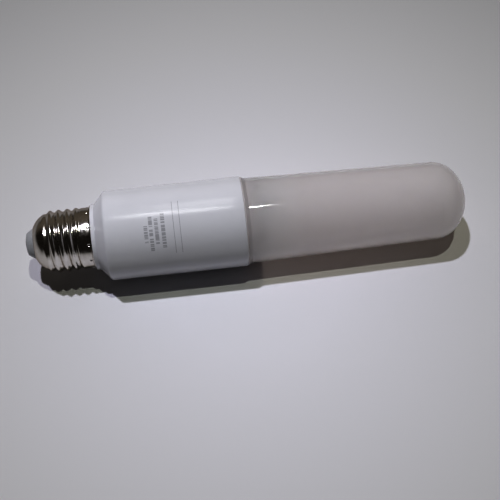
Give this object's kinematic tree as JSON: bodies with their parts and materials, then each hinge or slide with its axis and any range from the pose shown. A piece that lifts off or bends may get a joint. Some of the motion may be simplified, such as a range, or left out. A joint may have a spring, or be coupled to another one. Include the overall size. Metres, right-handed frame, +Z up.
{
  "type": "tubular light bulb",
  "caption": "Tubular lamp with an opal domed diffuser, a white moulded housing and a rolled screw cap that turns into a lamp holder.",
  "frame": {"origin": "centre of the contact's end face, at the cap end of the lamp", "axes": "+X along the lamp's axis from the contact towards the dome, +Z up as the lamp lies on its side"},
  "size_m": [0.1871, 0.0382, 0.0382],
  "materials": {
    "contact_metal": "nickel-plated, lightly rubbed",
    "insulator_plastic": "pale moulded, satin",
    "shell_plating": "bright nickel plate on thin sheet",
    "housing_plastic": "white moulded, satin",
    "diffuser_opal": "opal, smooth"
  },
  "bodies": {
    "root": {"centre_contact": "contact_metal", "insulator": "insulator_plastic", "screw_shell": "shell_plating", "housing": "housing_plastic", "diffuser": "diffuser_opal"}
  },
  "joints": []
}
